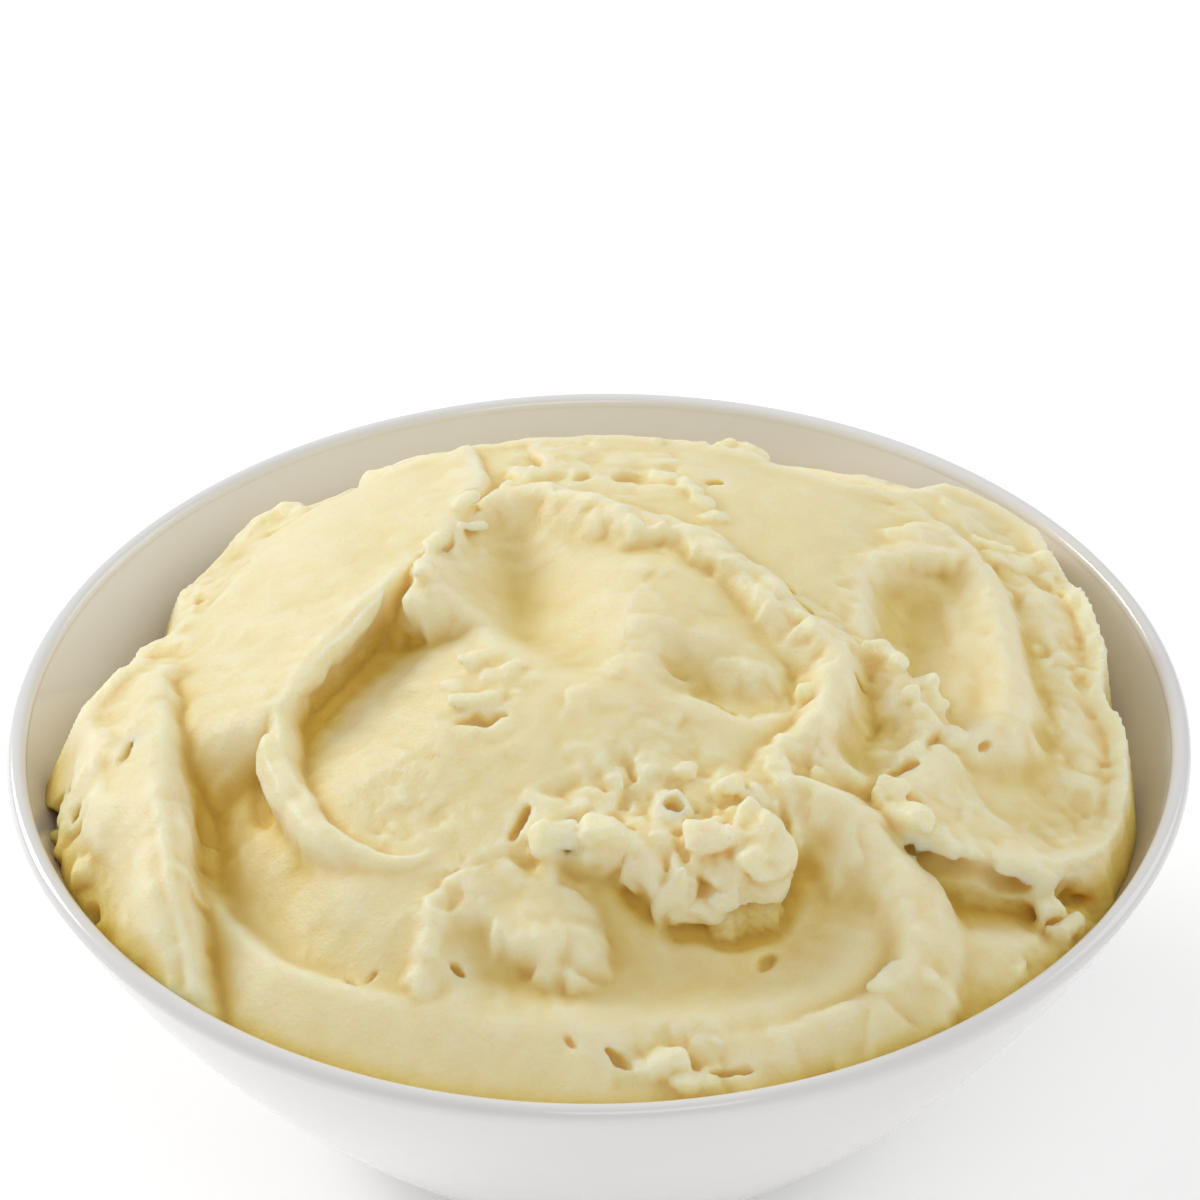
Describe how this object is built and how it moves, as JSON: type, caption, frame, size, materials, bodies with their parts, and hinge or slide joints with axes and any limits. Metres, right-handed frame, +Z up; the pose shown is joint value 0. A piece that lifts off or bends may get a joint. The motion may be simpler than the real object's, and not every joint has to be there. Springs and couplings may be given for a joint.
{
  "type": "bowl of mashed potato",
  "caption": "Round white serving bowl heaped with mashed potato, worked into spoon swirls, ridges and hollows, standing on its foot ring.",
  "frame": {"origin": "centre of the foot ring, on the surface that the bowl stands on", "axes": "+Z up along the bowl's axis; the picture looks along +Y, with +X to its right"},
  "size_m": [0.2, 0.2, 0.103],
  "materials": {
    "porcelain": "gloss",
    "mash": "satin"
  },
  "bodies": {
    "root": {"bowl": "porcelain", "mash": "mash"}
  },
  "joints": []
}
